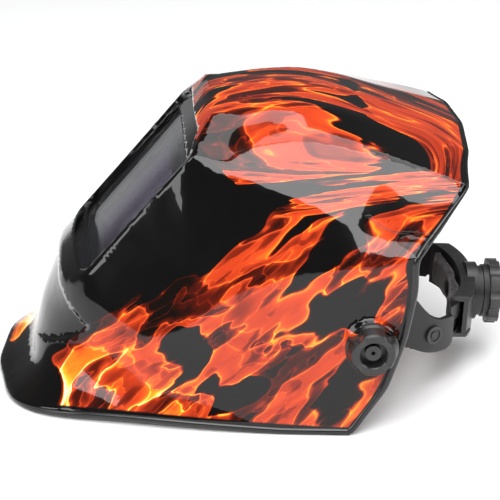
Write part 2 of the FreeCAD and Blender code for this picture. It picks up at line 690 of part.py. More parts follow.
def make_tension_knob(sign):
    x0 = BOSS_OUT + 0.15
    prof = [(STUD_R + 0.06, 0), (16.6, 0), (16.6, 3.4), (15.6, 5.0), (14.0, 12.0), (13.0, 13.3),
            (8.9, 13.3), (8.3, 12.6), (8.3, 5.6), (STUD_R + 0.06, 5.6)]
    face = Part.Face(Part.makePolygon([V(x0 + h, r, 0) for r, h in prof + [prof[0]]]))
    knob = face.revolve(V(0, 0, 0), V(1, 0, 0), 360)
    for i in range(4):
        a = math.radians(45 + 88 * i)
        knob = knob.cut(rod_x(x0 - 1, x0 + 20, 18.4 * math.cos(a), 18.4 * math.sin(a), 5.9))
    if sign < 0:
        knob = knob.mirror(V(0, 0, 0), V(1, 0, 0))
    knob.translate(V(0, PIV_Y, PIV_Z))
    return knob


def crown_point(deg, grow):
    t = math.radians(deg)
    k = 2.0 / 2.3
    return V((72.9 + grow) * power(math.cos(t), k), (100.0 + grow) * power(math.sin(t), k), 0)


def make_crown_strap(sign):
    steps = list(range(0, 103, 3))

    def gap(d):
        t = min(1.0, max(0.0, (d - 40.0) / 30.0))
        rear = 0.0 if sign > 0 else 2.0
        return rear * t * t * (3 - 2 * t)

    inner = [V(72.9, -16, 0)] + [crown_point(d, gap(d)) for d in steps]
    outer = [V(74.7, -16, 0)] + [crown_point(d, gap(d) + 1.8) for d in steps]
    strap = strip(inner, outer, -10, 10)
    strap.rotate(V(0, 0, 0), V(1, 0, 0), 90)
    strap.translate(V(0, 8, 0))
    for x in (-9, 0, 9, 18, 27):
        strap = strap.cut(Part.makeCylinder(2.05, 60, V(x, 8, 80)))
    strap = strap.cut(rod_x(40, 95, 8, -8, 2.05))
    if sign < 0:
        strap = strap.mirror(V(0, 0, 0), V(1, 0, 0))
    return on_head(strap)


def make_crown_pin():
    stem = Part.makeCylinder(2.0, 6.4, V(0, 8, 98.4))
    low = Part.makeCylinder(4.5, 1.4, V(0, 8, 98.2))
    top = Part.makeCylinder(5.5, 1.8, V(0, 8, 104.4))
    return on_head(fuse_all([stem, low, top]))


def make_ratchet_housing():
    body = ring(-2.5, 4.8, -26, 3).common(Part.makeBox(2 * HOUSE_X, 60, 40, V(-HOUSE_X, 40, -30)))
    body = body.fuse(rod_back(0, 7.4, 0, GEAR_Z, 19.2))
    body = body.fuse(rod_back(7.3, 11.2, 0, GEAR_Z, 16.6))
    body = body.cut(oval(-2.5, -60, 60))
    body = body.cut(ring(-3.0, 2.2, -23.4, -0.6))
    body = body.cut(rod_back(-10, 8.6, 0, GEAR_Z, 13.6))
    body = body.cut(rod_back(-10, 15, 0, GEAR_Z, 4.07))
    for sign in (1, -1):
        for z in (-24.2, 1.2):
            lip = ring(2.1, 5.6, z - 1.0, z + 1.0)
            body = body.fuse(lip.common(Part.makeBox(8, 60, 40, V(sign * (HOUSE_X - 4) - 4, 40, -30))))
    return on_head(biggest(body))


def make_ratchet_plate():
    body = ring(-4.5, -2.55, -26, 3).common(Part.makeBox(2 * HOUSE_X, 60, 40, V(-HOUSE_X, 40, -30)))
    body = body.cut(rod_back(-20, 15, 0, GEAR_Z, 4.4))
    return on_head(biggest(body))


def make_nape_pad():
    body = ring(-10.2, -4.6, -24, 1).common(Part.makeBox(76, 60, 40, V(-38, 40, -30)))
    body = body.cut(rod_back(-20, 15, 0, GEAR_Z, 6))
    return on_head(biggest(body))


def make_pinion():
    gear = rod_back(-2.2, 2.2, 0, GEAR_Z, 3.6)
    for i in range(8):
        tooth = Part.makeBox(1.3, 4.4, 3.6, V(-0.65, BAND_REAR - 2.2, GEAR_Z + 2.0))
        tooth.rotate(V(0, 0, GEAR_Z), V(0, 1, 0), 45 * i)
        gear = gear.fuse(tooth)
    return on_head(gear.cut(rod_back(-10, 10, 0, GEAR_Z, 2.52)))


def make_detent_star():
    star = rod_back(4, 7.2, 0, GEAR_Z, 8.4)
    for i in range(12):
        a = math.radians(30 * i)
        star = star.fuse(rod_back(4, 7.2, 8.2 * math.cos(a), GEAR_Z + 8.2 * math.sin(a), 1.1))
    return on_head(star.cut(rod_back(0, 10, 0, GEAR_Z, 4.02)))


def make_detent_spring():
    body = rod_back(4.2, 7, 0, GEAR_Z, 13.5).cut(rod_back(0, 10, 0, GEAR_Z, 12.2))
    for i in range(3):
        a = math.radians(90 + 120 * i)
        stub = rod_back(4.2, 7, 11.6 * math.cos(a), GEAR_Z + 11.6 * math.sin(a), 1.6)
        body = body.fuse(stub)
    return on_head(body)


def make_ratchet_knob():
    body = rod_back(11.5, 15.4, 0, GEAR_Z, 17.6)
    disc = rod_back(15.2, KNOB_REAR, 0, GEAR_Z, 21.75)
    for i in range(9):
        a = math.radians(40 * i + 20)
        disc = disc.cut(rod_back(10, 25, 26.2 * math.cos(a), GEAR_Z + 26.2 * math.sin(a), 6.6))
    disc = disc.cut(rod_back(KNOB_REAR - 2, 25, 0, GEAR_Z, 15.5).cut(rod_back(10, 26, 0, GEAR_Z, 7.5)))
    body = fuse_all([body, disc, rod_back(4, 11.6, 0, GEAR_Z, 4.0), rod_back(-3.4, 4.1, 0, GEAR_Z, 2.5)])
    return on_head(body.cut(rod_back(-10, 6, 0, GEAR_Z, 1.22)))


def make_ratchet_screw():
    body = rod_back(-3.5, 5, 0, GEAR_Z, 1.2).fuse(rod_back(-5.4, -3.5, 0, GEAR_Z, 3.4))
    body = body.cut(Part.makeBox(5, 1, 0.9, V(-2.5, BAND_REAR - 5.6, GEAR_Z - 0.45)))
    return on_head(body)


def export(name, shape):
    shape.exportStep("parts/" + name + ".step")


def main():
    os.makedirs("parts", exist_ok=True)
    export("shell", make_shell())
    export("front_cover_lens", make_lens())
    export("lens_gasket", make_lens_gasket())
    export("filter_holder", make_holder())
    export("holder_screws", make_holder_screws())
    export("cartridge_front", make_case_front())
    export("cartridge_back", make_case_back())
    export("filter_glass", make_filter())
    export("solar_panel", make_solar())
    export("arc_sensors", make_sensors())
    export("circuit_board", make_board())
    export("potentiometers", make_pots())
    export("inner_cover_lens", make_back_lens())
    for name, spec in zip(("shade_knob", "sensitivity_knob", "delay_knob"), KNOBS):
        export(name, dial(spec[0], spec[1], spec[2], 5.0 if name == "shade_knob" else 4.0))
    export("test_button", make_button())
    export("mode_switch", make_switch())
    export("battery_tray", make_tray())
    export("coin_cell", make_cell())
    export("headband", make_headband())
    export("sweatband", make_sweatband())
    export("strap_left", make_strap(1))
    export("strap_right", make_strap(-1))
    export("strap_buttons", make_strap_buttons())
    export("pivot_arm_left", make_arm(1))
    export("pivot_arm_right", make_arm(-1))
    export("band_rivets", make_band_rivets())
    export("pivot_studs", make_pivot_studs())
    export("friction_washers", make_friction_washers())
    export("tension_knob_left", make_tension_knob(1))
    export("tension_knob_right", make_tension_knob(-1))
    export("crown_strap_left", make_crown_strap(1))
    export("crown_strap_right", make_crown_strap(-1))
    export("crown_pin", make_crown_pin())
    export("ratchet_housing", make_ratchet_housing())
    export("ratchet_plate", make_ratchet_plate())
    export("nape_pad", make_nape_pad())
    export("ratchet_pinion", make_pinion())
    export("detent_star", make_detent_star())
    export("detent_spring", make_detent_spring())
    export("ratchet_knob", make_ratchet_knob())
    export("ratchet_screw", make_ratchet_screw())


main()
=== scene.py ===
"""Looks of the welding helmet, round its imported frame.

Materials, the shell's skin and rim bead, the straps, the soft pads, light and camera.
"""
import json
import math

import bmesh
import bpy
import numpy as np
from mathutils import Matrix, Vector
from mathutils.kdtree import KDTree


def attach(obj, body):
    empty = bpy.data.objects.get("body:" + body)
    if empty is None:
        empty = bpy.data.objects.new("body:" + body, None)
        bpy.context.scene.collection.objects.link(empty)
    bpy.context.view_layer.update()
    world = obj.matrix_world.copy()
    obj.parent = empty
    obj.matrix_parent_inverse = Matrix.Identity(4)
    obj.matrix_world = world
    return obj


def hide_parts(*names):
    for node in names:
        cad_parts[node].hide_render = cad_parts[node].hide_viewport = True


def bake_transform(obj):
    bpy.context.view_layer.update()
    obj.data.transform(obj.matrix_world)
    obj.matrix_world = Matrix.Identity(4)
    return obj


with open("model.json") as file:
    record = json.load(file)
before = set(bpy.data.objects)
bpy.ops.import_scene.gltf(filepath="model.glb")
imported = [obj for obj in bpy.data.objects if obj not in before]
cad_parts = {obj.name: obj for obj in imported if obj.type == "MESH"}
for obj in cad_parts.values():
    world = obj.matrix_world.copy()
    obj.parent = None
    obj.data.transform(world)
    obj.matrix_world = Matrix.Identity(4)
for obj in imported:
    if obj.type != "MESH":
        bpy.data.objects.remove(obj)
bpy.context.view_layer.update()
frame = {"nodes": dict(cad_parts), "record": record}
NODES = frame["nodes"]
SCENE = bpy.context.scene

MM = 0.001

# The window's face rises backwards at FACE_TILT and ends on the brow at FACE_TOP. MIDDLE lies inside
# the shell: outward is away from it.
FACE_TOP = Vector((0.0, -0.042, 0.168))
FACE_TILT = math.radians(49.0)
MIDDLE = Vector((0.0, 0.0, 0.085))

# The shell's lower edge runs from TIP_Y back to HEEL_Y. REAR_EDGE is its rear edge as (height, Y).
TIP_Y, HEEL_Y = -0.157, 0.045
REAR_EDGE = ((0.0, 0.053), (0.032, 0.0755), (0.064, 0.087), (0.095, 0.0936), (0.116, 0.0936),
             (0.124, 0.103), (0.1532, 0.1273), (0.1566, 0.1288), (0.1594, 0.131), (0.1612, 0.134),
             (0.1628, 0.137), (0.1644, 0.141), (0.168, 0.150))


# ---------------- camera, floor and light ----------------

def make_camera():
    """A long lens that looks down a little on the helmet's side, with the face to the left."""
    azimuth, elevation, reach = math.radians(86.0), math.radians(23.0), 1.5
    target = Vector((-0.01015, -0.00042, 0.07293))
    level = math.cos(elevation)
    back = Vector((math.sin(azimuth) * level, -math.cos(azimuth) * level, math.sin(elevation)))
    data = bpy.data.cameras.new("camera")
    data.lens = 162.0
    data.sensor_width = 36.0
    cam = bpy.data.objects.new("camera", data)
    cam.location = target + back * reach
    cam.rotation_euler = (-back).to_track_quat("-Z", "Y").to_euler()
    SCENE.collection.objects.link(cam)
    SCENE.camera = cam


def stage_piece(bm, name, paint):
    """A painted part of the studio."""
    mesh = bpy.data.meshes.new(name)
    bm.to_mesh(mesh)
    bm.free()
    piece = bpy.data.objects.new(name, mesh)
    SCENE.collection.objects.link(piece)
    piece.data.materials.append(paint.mat)
    return piece


def softbox(name, at, aim, size, watts):
    data = bpy.data.lights.new(name, "AREA")
    data.shape = "RECTANGLE"
    data.size, data.size_y = size
    data.energy = watts
    lamp = bpy.data.objects.new(name, data)
    lamp.location = at
    lamp.rotation_euler = (Vector(aim) - Vector(at)).to_track_quat("-Z", "Y").to_euler()
    SCENE.collection.objects.link(lamp)


def make_glow_card():
    """A lit card on the far side, square to the slope of the window's face, for the cover to mirror.

    Its light fades in from one edge.
    """
    at, strength = Vector((-1.0, -0.453, 0.092)), 0.38
    first, last, half_length = -0.03, 0.22, 0.35
    fade_start, fade_end = -0.024, 0.006
    bm = bmesh.new()
    corners = ((first, -half_length), (last, -half_length), (last, half_length), (first, half_length))
    bm.faces.new([bm.verts.new((u, v, 0)) for u, v in corners])
    paint = Paint("glow_card_paint", 0.9)
    u = paint.split(paint.here())[0]
    haze = paint.noise(paint.here(), 9.0, 2.0)
    fade = paint.math("MULTIPLY", paint.span(u, fade_start, fade_end), strength)
    paint.base(paint.mix(haze, (0.02, 0.02, 0.02, 1), (0.03, 0.03, 0.03, 1)))
    paint.feed(paint.bsdf.inputs["Emission Color"], paint.mix(haze, (0.93, 0.95, 1, 1), (1, 1, 1, 1)))
    paint.feed(paint.bsdf.inputs["Emission Strength"], fade)
    card = stage_piece(bm, "glow_card", paint)
    across = Vector((0, math.sin(FACE_TILT), -math.cos(FACE_TILT)))
    along = Vector((0, math.cos(FACE_TILT), math.sin(FACE_TILT)))
    turn = Matrix((across, along, across.cross(along))).transposed().to_4x4()
    card.matrix_world = Matrix.Translation(at) @ turn


def make_floor():
    half_width = 4.0
    bm = bmesh.new()
    bmesh.ops.create_grid(bm, x_segments=24, y_segments=24, size=half_width)
    paint = Paint("floor_paint", 0.85)
    tone = paint.noise(paint.here(), 3.0, 3.0)
    paint.base(paint.mix(tone, (0.88, 0.88, 0.88, 1), (0.92, 0.92, 0.92, 1)))
    floor = stage_piece(bm, "floor", paint)


def make_stage():
    SCENE.view_settings.view_transform = "Standard"
    world = bpy.data.worlds.new("studio")
    SCENE.world = world
    world.use_nodes = True
    sky = world.node_tree.nodes["Background"].inputs
    sky["Color"].default_value = (0.92, 0.94, 0.97, 1)
    sky["Strength"].default_value = 0.16
    make_floor()
    softbox("key", (1.3, -0.3, 1.5), (0, 0, 0.08), (1.1, 1.1), 30)
    softbox("top", (0.1, 0.2, 1.7), (0, 0, 0.1), (1.6, 1.2), 26)
    softbox("front", (0.9, -1.3, 0.8), (0, -0.05, 0.08), (0.9, 0.7), 12)
    softbox("back", (0.2, 1.6, 0.9), (0, 0.1, 0.1), (1.2, 0.7), 14)
    make_glow_card()


# ---------------- materials ----------------

class Paint:
    """A procedural material, written as short calls."""

    def __init__(self, name, rough=0.5):
        self.mat = bpy.data.materials.new(name)
        self.mat.use_nodes = True
        self.tree = self.mat.node_tree
        self.bsdf = self.tree.nodes["Principled BSDF"]
        self.bsdf.inputs["Roughness"].default_value = rough

    def node(self, kind, **inputs):
        made = self.tree.nodes.new(kind)
        for key, value in inputs.items():
            self.feed(made.inputs[key.replace("_", " ")], value)
        return made

    def feed(self, socket, value):
        if isinstance(value, bpy.types.NodeSocket):
            self.tree.links.new(value, socket)
        elif value is not None:
            socket.default_value = value

    def here(self):
        return self.node("ShaderNodeTexCoord").outputs["Object"]

    def split(self, vector):
        return self.node("ShaderNodeSeparateXYZ", Vector=vector).outputs

    def join(self, x, y, z):
        return self.node("ShaderNodeCombineXYZ", X=x, Y=y, Z=z).outputs[0]

    def math(self, kind, a, b=0.0, clamp=False):
        made = self.tree.nodes.new("ShaderNodeMath")
        made.operation = kind
        made.use_clamp = clamp
        self.feed(made.inputs[0], a)
        self.feed(made.inputs[1], b)
        return made.outputs[0]

    def vmath(self, kind, a, b=(0, 0, 0), scale=None):
        made = self.tree.nodes.new("ShaderNodeVectorMath")
        made.operation = kind
        self.feed(made.inputs[0], a)
        if kind != "SCALE":
            self.feed(made.inputs[1], b)
        if scale is not None:
            made.inputs["Scale"].default_value = scale
        return made.outputs[0]

    def place(self, vector, turn=(0, 0, 0), size=(1, 1, 1), shift=(0, 0, 0)):
        return self.node("ShaderNodeMapping", Vector=vector, Rotation=turn, Scale=size,
                         Location=shift).outputs[0]

    def noise_node(self, vector, scale, detail, rough=0.5):
        return self.node("ShaderNodeTexNoise", Vector=vector, Scale=scale, Detail=detail, Roughness=rough)

    def noise(self, vector, scale, detail, rough=0.5):
        return self.noise_node(vector, scale, detail, rough).outputs[0]

    def warp(self, vector, scale, amount, detail):
        """The vector, pushed about by a noise."""
        swirl = self.noise_node(vector, scale, detail).outputs[1]
        swirl = self.vmath("SUBTRACT", swirl, (0.5, 0.5, 0.5))
        return self.vmath("ADD", vector, self.vmath("SCALE", swirl, scale=amount))

    def span(self, value, low, high, out_low=0.0, out_high=1.0):
        """A smooth step from out_low to out_high, as the value goes from low to high."""
        made = self.node("ShaderNodeMapRange", Value=value)
        made.interpolation_type = "SMOOTHSTEP"
        for key, number in (("From Min", low), ("From Max", high), ("To Min", out_low),
                            ("To Max", out_high)):
            self.feed(made.inputs[key], number)
        return made.outputs[0]

    def ramp(self, value, stops):
        made = self.node("ShaderNodeValToRGB", Fac=value)
        ramp = made.color_ramp
        while len(ramp.elements) < len(stops):
            ramp.elements.new(0.5)
        for element, (where, _) in zip(ramp.elements, stops):
            element.position = where
        for element, (_, colour) in zip(ramp.elements, stops):
            element.color = (*colour, 1)
        return made.outputs[0]

    def curve(self, value, points, low, high):
        """A curve through the given points, from value to a number between low and high."""
        made = self.node("ShaderNodeFloatCurve", Value=value)
        line = made.mapping.curves[0]
        while len(line.points) < len(points):
            line.points.new(0.5, 0.5)
        for point, (a, b) in zip(line.points, points):
            point.location = (a, (b - low) / (high - low))
            point.handle_type = "AUTO"
        made.mapping.update()
        return self.math("ADD", self.math("MULTIPLY", made.outputs[0], high - low), low)

    def mix(self, fac, a, b):
        made = self.tree.nodes.new("ShaderNodeMix")
        made.data_type = "RGBA"
        self.feed(made.inputs[0], fac)
        self.feed(made.inputs[6], a)
        self.feed(made.inputs[7], b)
        return made.outputs[2]

    def base(self, value):
        self.feed(self.bsdf.inputs["Base Color"], value)

    def rough(self, value):
        self.feed(self.bsdf.inputs["Roughness"], value)

    def bump(self, height, distance, strength=1.0):
        made = self.node("ShaderNodeBump", Height=height, Strength=strength, Distance=distance)
        self.feed(self.bsdf.inputs["Normal"], made.outputs[0])

    def set(self, **sockets):
        for key, value in sockets.items():
            self.bsdf.inputs[key.replace("_", " ")].default_value = value


def wear(paint):
    """1 on outside edges that hands rub."""
    return paint.span(paint.node("ShaderNodeNewGeometry").outputs["Pointiness"], 0.53, 0.62)


def moulded(name, tone, rough=0.45, grain=1400.0, depth=0.02, rub=0.35):
    """Moulded plastic: fine spark texture, faint mottling, a polish where edges rub."""
    paint = Paint(name)
    at = paint.here()
    blotch = paint.noise(at, 38.0, 3.0, 0.6)
    fleck = paint.noise(at, grain, 2.0, 0.7)
    light = tuple(min(1.0, c * 1.45 + 0.004) for c in tone)
    dark = tuple(c * 0.72 for c in tone)
    colour = paint.mix(blotch, (*dark, 1), (*light, 1))
    pale = tuple(min(1.0, c * 2.6 + 0.02) for c in tone)
    edge = paint.math("MULTIPLY", wear(paint), rub)
    paint.base(paint.mix(edge, colour, (*pale, 1)))
    gloss = paint.span(blotch, 0.3, 0.7, rough - 0.06, rough + 0.07)
    paint.rough(paint.math("SUBTRACT", gloss, paint.math("MULTIPLY", edge, 0.25)))
    paint.bump(fleck, depth * MM, 0.7)
    return paint


def rubber(name, tone):
    """Soft black rubber: duller and coarser than the plastics."""
    paint = moulded(name, tone, 0.72, 900.0, 0.03, 0.2)
    paint.set(Specular_IOR_Level=0.35)
    return paint


def clear_sheet(name, tone):
    """Clear polycarbonate with a hard coat: faint dust and hairline scratches in its gloss."""
    paint = Paint(name, 0.02)
    at = paint.here()
    dust = paint.noise(at, 220.0, 4.0, 0.7)
    hair = paint.noise(paint.place(at, (0.6, 0.2, 0.4), (900, 18, 30)), 1.0, 2.0)
    marks = paint.span(hair, 0.66, 0.74)
    paint.rough(paint.math("ADD", paint.span(dust, 0.45, 0.8, 0.015, 0.06),
                           paint.math("MULTIPLY", marks, 0.12)))
    paint.base(paint.mix(dust, (*tone, 1), (*(min(1, c * 1.03) for c in tone), 1)))
    paint.set(Transmission_Weight=1.0, IOR=1.08, Specular_IOR_Level=0.5, Coat_Weight=1.0,
              Coat_Roughness=0.02, Coat_IOR=1.55)
    return paint


def dark_filter(name):
    """The liquid-crystal filter: deep violet, a faint interference shimmer, a painted highlight at the
    top.
    """
    paint = Paint(name, 0.06)
    at = paint.here()
    z = paint.split(at)[2]
    cloud = paint.noise(at, 14.0, 2.0)
    shade = paint.mix(cloud, (0.050, 0.030, 0.085, 1), (0.085, 0.055, 0.130, 1))
    # painted highlight: the violet turns lighter towards the top of the window
    painted_highlight_to_top = paint.span(z, 0.075, 0.150)
    paint.base(paint.mix(painted_highlight_to_top, shade, (0.105, 0.075, 0.150, 1)))
    paint.rough(paint.span(paint.noise(at, 180.0, 3.0), 0.4, 0.7, 0.05, 0.10))
    paint.set(Coat_Weight=0.7, Coat_Roughness=0.03, Specular_IOR_Level=0.6)
    return paint


def solar(name):
    """A row of dark solar cells with thin pale gaps between them."""
    cell_width = 0.0138
    paint = Paint(name, 0.18)
    at = paint.here()
    x = paint.split(at)[0]
    cell = paint.math("FRACT", paint.math("MULTIPLY", x, 1 / cell_width))
    gap = paint.math("ADD", paint.span(cell, 0.0, 0.06, 1, 0), paint.span(cell, 0.94, 1.0), True)
    tint = paint.mix(paint.noise(at, 90.0, 3.0), (0.012, 0.008, 0.016, 1), (0.030, 0.018, 0.026, 1))
    paint.base(paint.mix(gap, tint, (0.11, 0.10, 0.10, 1)))
    paint.set(Coat_Weight=0.8, Coat_Roughness=0.04)
    return paint


def steel(name, tone, stretch=(1, 40, 1)):
    """Steel with a fine brushed grain, drawn out by stretch."""
    paint = Paint(name, 0.3)
    at = paint.here()
    brushed = paint.noise(paint.place(at, (0, 0, 0), stretch), 160.0, 3.0)
    low = tuple(c * 0.7 for c in tone)
    paint.base(paint.mix(brushed, (*low, 1), (*tone, 1)))
    paint.rough(paint.span(brushed, 0.3, 0.7, 0.22, 0.4))
    paint.bump(brushed, 0.01 * MM, 0.5)
    paint.set(Metallic=1.0)
    return paint


def foam_cloth(name):
    """Brushed knit over foam: a short nap, with painted shade that darkens it between the fibres."""
    paint = Paint(name, 0.95)
    at = paint.here()
    pile_and_shade = paint.noise(at, 1500.0, 3.0, 0.75)
    knit = paint.node("ShaderNodeTexVoronoi", Vector=at, Scale=700.0).outputs[0]
    worn = paint.noise(at, 30.0, 3.0)
    # painted shade: where the nap lies low between the fibres, its colour is darker
    colour = paint.mix(pile_and_shade, (0.010, 0.010, 0.011, 1), (0.050, 0.050, 0.054, 1))
    paint.base(paint.mix(paint.math("MULTIPLY", worn, 0.4), colour, (0.075, 0.073, 0.072, 1)))
    paint.bump(paint.math("ADD", paint.math("MULTIPLY", knit, 0.8), pile_and_shade), 0.25 * MM, 0.8)
    paint.set(Sheen_Weight=0.35, Sheen_Roughness=0.5)
    return paint


def rim_mask(paint, y, z):
    """1 within the plain border along the lower and rear edges; the lower edge bows up midway."""
    bow_height = 4.3 * MM
    run = paint.math("MULTIPLY", paint.math("SUBTRACT", y, TIP_Y), 1 / (HEEL_Y - TIP_Y), True)
    bow = paint.math("SINE", paint.math("MULTIPLY", paint.math("POWER", run, 0.7), math.pi))
    above = paint.math("SUBTRACT", z, paint.math("MULTIPLY", bow, bow_height))
    low = paint.span(above, 5.2 * MM, 6.4 * MM, 1.0, 0.0)
    top = REAR_EDGE[-1][0]
    points = [(height / top, edge_y) for height, edge_y in REAR_EDGE]
    edge = paint.curve(paint.math("MULTIPLY", z, 1 / top), points, 0.0, 0.16)
    rear = paint.span(paint.math("SUBTRACT", edge, y), 5.0 * MM, 6.2 * MM, 1.0, 0.0)
    return paint.math("MAXIMUM", low, rear)


# How a flame's height field turns to heat. SHEET: nothing, a thin bright lip, a glowing body with
# one fold. LIP: only a thin line.
SHEET = ((0.0, 0.0), (0.440, 0.0), (0.468, 0.16), (0.479, 0.70), (0.487, 0.54), (0.510, 0.43),
         (0.560, 0.37), (0.604, 0.42), (0.612, 0.58), (0.622, 0.40), (0.70, 0.28), (0.80, 0.20),
         (1.0, 0.2))
LIP = ((0.0, 0.0), (0.474, 0.0), (0.492, 1.0), (0.504, 0.35), (0.545, 0.0), (1.0, 0.0))

# From cold black through red and orange to the white of the hottest fire.
EMBERS = ((0.00, (0.0022, 0.0020, 0.0020)), (0.10, (0.005, 0.002, 0.001)), (0.22, (0.10, 0.007, 0.002)),
          (0.36, (0.42, 0.034, 0.008)), (0.50, (0.62, 0.062, 0.012)), (0.64, (0.87, 0.22, 0.013)),
          (0.82, (1.00, 0.60, 0.045)), (1.00, (0.97, 0.90, 0.48)))
RIM_BLACK = (0.0025, 0.0024, 0.0024, 1)


def flow_space(paint, at, lean):
    """Coordinates that run with the fire: up and back on the sides, straight back over the crown."""
    x, y, z = paint.split(at)
    over = paint.span(z, 0.135, 0.172)
    back, up = math.cos(lean), math.sin(lean)
    along = paint.math("ADD", paint.math("MULTIPLY", y, back), paint.math("MULTIPLY", z, up))
    side = paint.math("MULTIPLY", paint.math("MULTIPLY", y, up), paint.math("SUBTRACT", 1.0, over))
    across = paint.math("SUBTRACT", paint.math("MULTIPLY", z, back), side)
    across = paint.math("ADD", across, paint.math("MULTIPLY", x, over))
    return paint.join(paint.math("MULTIPLY", x, 0.5), along, across)


def flame_level(paint, flow, size, seed, swirl, push):
    """A curling height field, pushed down where nothing burns."""
    flow = paint.place(flow, (0, 0, 0), size, seed)
    flow = paint.warp(flow, 0.8, swirl, 2.0)
    flow = paint.warp(flow, 2.7, 0.28, 1.0)
    level = paint.noise(flow, 1.0, 1.0, 0.45)
    return paint.math("SUBTRACT", level, push)


def tones(paint, level, stops):
    """A grey ramp."""
    return paint.ramp(level, [(where, (tone, tone, tone)) for where, tone in stops])


def blob(paint, at, centre, radii, turn=0.0):
    """1 in the middle of a soft ellipsoid, falling to 0 at its edge."""
    away = paint.vmath("SUBTRACT", at, centre)
    away = paint.place(away, (turn, 0, 0))
    away = paint.vmath("MULTIPLY", away, tuple(1 / radius for radius in radii))
    far = paint.tree.nodes.new("ShaderNodeVectorMath")
    far.operation = "LENGTH"
    paint.feed(far.inputs[0], away)
    return paint.span(far.outputs["Value"], 0.25, 1.0, 1.0, 0.0)


def fire_places(paint, at):
    """Where the fire burns hottest, and how far it is pushed down everywhere.

    It burns on the cheek below a rising line, on the crown behind the brow and on the rear facet. It
    is hottest low in front and thinner at the heel.
    """
    _, y, z = paint.split(at)
    wobble = paint.warp(at, 14.0, 0.035, 2.0)
    _, wy, wz = paint.split(wobble)
    line = paint.math("MULTIPLY", paint.math("ADD", wy, 0.091), 0.80)
    cheek = paint.span(paint.math("SUBTRACT", wz, line), 0.048, 0.078, 1.0, 0.0)
    crown = paint.math("MULTIPLY", paint.span(wz, 0.139, 0.160), paint.span(wy, 0.052, 0.100, 1.0, 0.0))
    behind = paint.math("MULTIPLY", paint.math("SUBTRACT", y, FACE_TOP.y), math.cos(FACE_TILT))
    above = paint.math("MULTIPLY", paint.math("SUBTRACT", z, FACE_TOP.z), math.sin(FACE_TILT))
    off_brow = paint.span(paint.math("ADD", behind, above), 5.5 * MM, 7.5 * MM)
    crown = paint.math("MULTIPLY", crown, off_brow)
    rear = blob(paint, wobble, (0, 0.060, 0.130), (0.30, 0.062, 0.050), 0.3)
    hot = blob(paint, wobble, (0, -0.100, 0.014), (0.30, 0.085, 0.042))
    heel = blob(paint, wobble, (0, 0.020, 0.012), (0.30, 0.075, 0.045))
    fire = paint.math("MAXIMUM", cheek, paint.math("MAXIMUM", crown, rear))
    push = paint.math("MULTIPLY", paint.math("SUBTRACT", 1.0, fire), 0.30)
    push = paint.math("ADD", push, paint.math("MULTIPLY", heel, 0.05))
    push = paint.math("SUBTRACT", push, paint.math("MULTIPLY", hot, 0.03))
    return hot, paint.math("SUBTRACT", push, 0.030)


def shell_print(name):
    """Gloss black nylon with a flame print under a clear coat."""
    paint = Paint(name, 0.12)
    at = paint.here()
    _, y, z = paint.split(at)
    hot, push = fire_places(paint, at)
    flow = flow_space(paint, at, lean=0.72)
    wide = flame_level(paint, flow, (9, 14, 38), (0.3, 1.7, 0.4), 1.05, push)
    tall = flame_level(paint, flow, (14, 22, 70), (4.3, 2.1, 7.7), 1.0, push)
    fine = flame_level(paint, flow, (30, 36, 150), (9.1, 5.2, 3.3), 0.8, push)
    body = tones(paint, wide, SHEET)
    shade = paint.span(tall, 0.36, 0.56, 0.35, 1.05)
    streak = paint.span(fine, 0.34, 0.62, 0.72, 1.22)
    lips = paint.math("ADD", paint.math("MULTIPLY", tones(paint, tall, LIP), 0.40),
                      paint.math("MULTIPLY", tones(paint, fine, LIP), 0.16))
    lit = paint.span(wide, 0.44, 0.49, 0.15, 1.0)
    heat = paint.math("MULTIPLY", paint.math("MULTIPLY", body, shade), streak)
    heat = paint.math("ADD", heat, paint.math("MULTIPLY", lips, lit))
    boost = paint.math("ADD", 1.0, paint.math("MULTIPLY", hot, 0.75))
    heat = paint.math("MULTIPLY", paint.math("MULTIPLY", heat, boost), 0.80)
    paint.base(paint.mix(rim_mask(paint, y, z), paint.ramp(heat, EMBERS), RIM_BLACK))
    paint.rough(paint.span(paint.noise(at, 60.0, 3.0), 0.3, 0.7, 0.10, 0.16))
    paint.bump(paint.noise(at, 420.0, 2.0), 0.006 * MM, 0.35)
    paint.set(Coat_Weight=1.0, Coat_Roughness=0.02, Coat_IOR=1.38, Specular_IOR_Level=0.05)
    return paint


